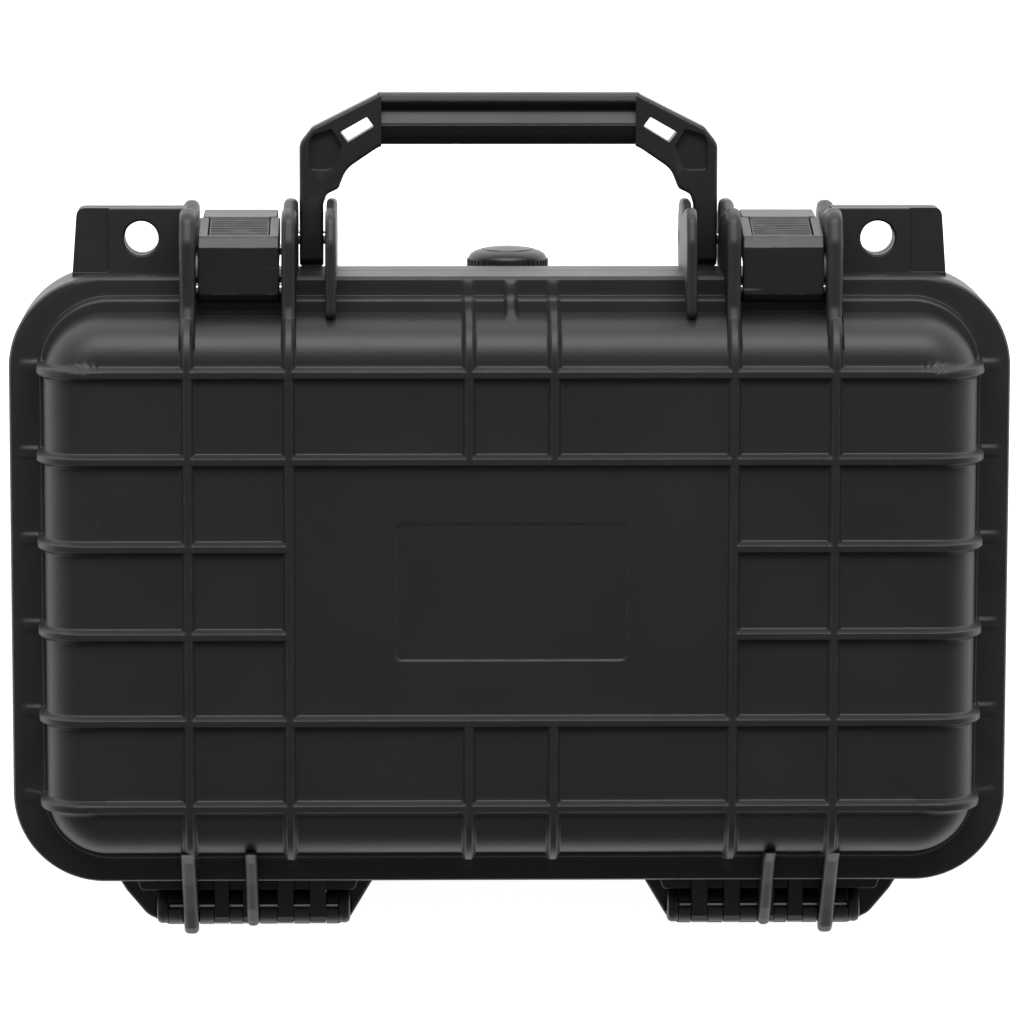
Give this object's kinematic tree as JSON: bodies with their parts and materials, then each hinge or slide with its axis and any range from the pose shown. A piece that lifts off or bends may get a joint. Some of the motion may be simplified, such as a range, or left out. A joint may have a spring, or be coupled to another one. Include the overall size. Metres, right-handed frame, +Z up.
{
  "type": "toolbox with tray",
  "caption": "Ribbed hard plastic toolbox with hinged lid, trigger latches, folding handle, pressure valve and a lift-out divided tray.",
  "frame": {"origin": "middle of the base's underside, where the box rests", "axes": "+X along the box to its left end seen from the front, +Y towards the hinges, +Z up through the lid; the handle and latches are at -Y"},
  "size_m": [0.35, 0.2959, 0.15],
  "materials": {
    "shell_plastic": "black moulded polypropylene with a fine grain",
    "latch_plastic": "black nylon, slightly smoother than the shells",
    "handle_plastic": "black moulded nylon, satin",
    "valve_plastic": "black plastic, smooth",
    "tray_plastic": "dark grey moulded plastic",
    "seal_rubber": "black sealing rubber",
    "membrane": "white vent membrane",
    "pin_steel": "bright plated steel",
    "spring_steel": "spring steel strip"
  },
  "bodies": {
    "base": {"base_shell": "shell_plastic", "catch_bar_left": "pin_steel", "catch_bar_right": "pin_steel", "hinge_pin_left": "pin_steel", "hinge_pin_right": "pin_steel", "handle_pin_left": "pin_steel", "handle_pin_right": "pin_steel", "valve_body": "valve_plastic", "valve_nut": "valve_plastic", "valve_seal_ring": "seal_rubber", "valve_membrane": "membrane"},
    "lid": {"lid_shell": "shell_plastic", "lid_seal": "seal_rubber", "latch_pin_left": "pin_steel", "latch_pin_right": "pin_steel"},
    "latch_left": {"latch_body_left": "latch_plastic", "trigger_pin_left": "pin_steel", "trigger_spring_left": "spring_steel"},
    "latch_right": {"latch_body_right": "latch_plastic", "trigger_pin_right": "pin_steel", "trigger_spring_right": "spring_steel"},
    "trigger_left": {"latch_trigger_left": "latch_plastic"},
    "trigger_right": {"latch_trigger_right": "latch_plastic"},
    "handle": {"handle": "handle_plastic"},
    "valve_cap": {"valve_knob": "valve_plastic"},
    "tray": {"tray": "tray_plastic", "tray_divider_1": "tray_plastic", "tray_divider_2": "tray_plastic", "tray_divider_3": "tray_plastic"}
  },
  "joints": [
    {"name": "lid_hinge", "type": "hinge", "parent": "base", "child": "lid", "pos_m": [0, 0.1205, 0.104], "axis": [-1, 0, 0], "range_deg": [0, 105]},
    {"name": "latch_left_swing", "type": "hinge", "parent": "lid", "child": "latch_left", "pos_m": [0.0944, -0.104, 0.1295], "axis": [-1, 0, 0], "range_deg": [0, 100]},
    {"name": "latch_right_swing", "type": "hinge", "parent": "lid", "child": "latch_right", "pos_m": [-0.0944, -0.104, 0.1295], "axis": [-1, 0, 0], "range_deg": [0, 100]},
    {"name": "trigger_left_press", "type": "hinge", "parent": "latch_left", "child": "trigger_left", "pos_m": [0.0944, -0.1205, 0.1205], "axis": [-1, 0, 0], "range_deg": [0, 9], "stiffness_Nm_per_rad": 0.3, "springref_deg": -5.73},
    {"name": "trigger_right_press", "type": "hinge", "parent": "latch_right", "child": "trigger_right", "pos_m": [-0.0944, -0.1205, 0.1205], "axis": [-1, 0, 0], "range_deg": [0, 9], "stiffness_Nm_per_rad": 0.3, "springref_deg": -5.73},
    {"name": "handle_fold", "type": "hinge", "parent": "base", "child": "handle", "pos_m": [0, -0.117, 0.082], "axis": [1, 0, 0], "range_deg": [0, 88]},
    {"name": "valve_turn", "type": "hinge", "parent": "base", "child": "valve_cap", "pos_m": [0, -0.0951, 0.069], "axis": [0, -1, 0], "range_deg": [0, 180]},
    {"name": "tray_lift", "type": "slide", "parent": "base", "child": "tray", "axis": [0, 0, 1], "range_m": [0, 0.036]}
  ]
}
